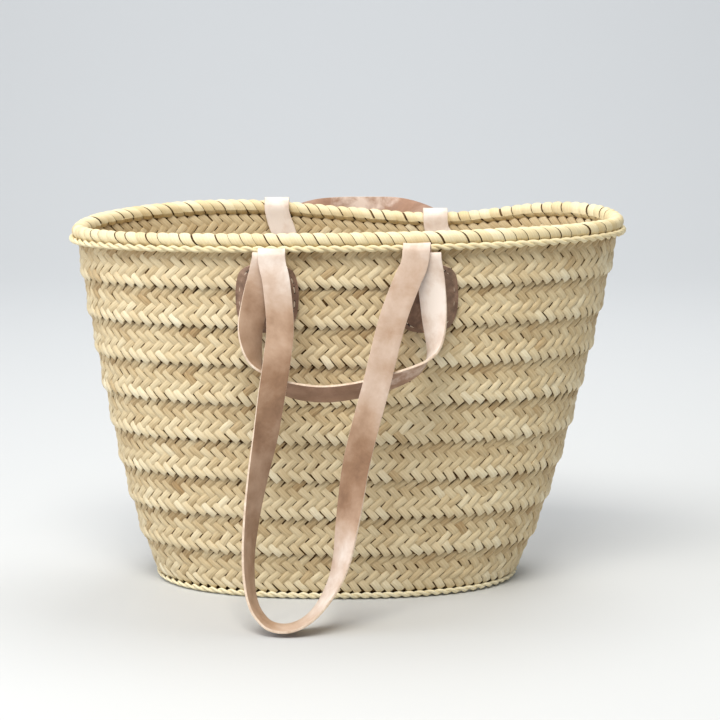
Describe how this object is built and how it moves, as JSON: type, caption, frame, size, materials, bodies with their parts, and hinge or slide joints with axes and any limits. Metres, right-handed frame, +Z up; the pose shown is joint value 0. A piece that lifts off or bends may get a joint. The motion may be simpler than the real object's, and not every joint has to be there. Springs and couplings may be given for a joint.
{
  "type": "woven market basket",
  "caption": "Oval open-topped palm-leaf market basket: sewn braid courses, bound rim with twisted cord, and long and short leather handles held under stitched patches.",
  "frame": {"origin": "middle of the underside of the base panel, on the floor", "axes": "+X along the basket's length, +Y to the back, +Z up"},
  "size_m": [0.5376, 0.4909, 0.3617],
  "materials": {
    "palm_braid": "plaited dried palm leaf, dry satin",
    "palm_cord": "hand-twisted palm leaf cord, dry satin",
    "palm_binding": "slanted palm leaf wraps, dry satin",
    "palm_twine": "thin palm fibre twine",
    "patch_leather": "vegetable-tanned leather, matt",
    "thread": "waxed linen thread",
    "strap_leather": "natural vegetable-tanned leather, satin, raw cut edges"
  },
  "bodies": {
    "basket": {"base_panel": "palm_braid", "base_welt_cord": "palm_cord", "wall_course_1": "palm_braid", "wall_course_2": "palm_braid", "wall_course_3": "palm_braid", "wall_course_4": "palm_braid", "wall_course_5": "palm_braid", "wall_course_6": "palm_braid", "wall_course_7": "palm_braid", "wall_course_8": "palm_braid", "wall_course_9": "palm_braid", "rim_roll": "palm_binding", "rim_cord": "palm_cord", "course_twine": "palm_twine", "front_left_patch": "patch_leather", "front_right_patch": "patch_leather", "back_left_patch": "patch_leather", "back_right_patch": "patch_leather", "front_left_backing": "patch_leather", "front_right_backing": "patch_leather", "back_left_backing": "patch_leather", "back_right_backing": "patch_leather", "front_left_stitches": "thread", "front_right_stitches": "thread", "back_left_stitches": "thread", "back_right_stitches": "thread", "front_long_ends": "strap_leather", "front_short_ends": "strap_leather", "back_long_ends": "strap_leather", "back_short_ends": "strap_leather"},
    "front_long_handle": {"front_long_strap": "strap_leather"},
    "front_short_handle": {"front_short_strap": "strap_leather"},
    "back_long_handle": {"back_long_strap": "strap_leather"},
    "back_short_handle": {"back_short_strap": "strap_leather"}
  },
  "joints": [
    {"name": "front_long_swing", "type": "hinge", "parent": "basket", "child": "front_long_handle", "pos_m": [0.011, -0.14163, 0.333], "axis": [-1, 0, 0], "range_deg": [0, 165]},
    {"name": "front_short_swing", "type": "hinge", "parent": "basket", "child": "front_short_handle", "pos_m": [0.011, -0.14163, 0.333], "axis": [-1, 0, 0], "range_deg": [0, 165]},
    {"name": "back_short_swing", "type": "hinge", "parent": "basket", "child": "back_short_handle", "pos_m": [0.019, 0.14163, 0.333], "axis": [1, 0, 0], "range_deg": [-85, 65]},
    {"name": "back_long_swing", "type": "hinge", "parent": "basket", "child": "back_long_handle", "pos_m": [0.019, 0.1201, 0.3502], "axis": [-1, 0, 0], "range_deg": [0, 10]}
  ],
  "couplings": [
    {"joint": "front_short_swing", "follows": "front_long_swing", "ratio": 1}
  ]
}
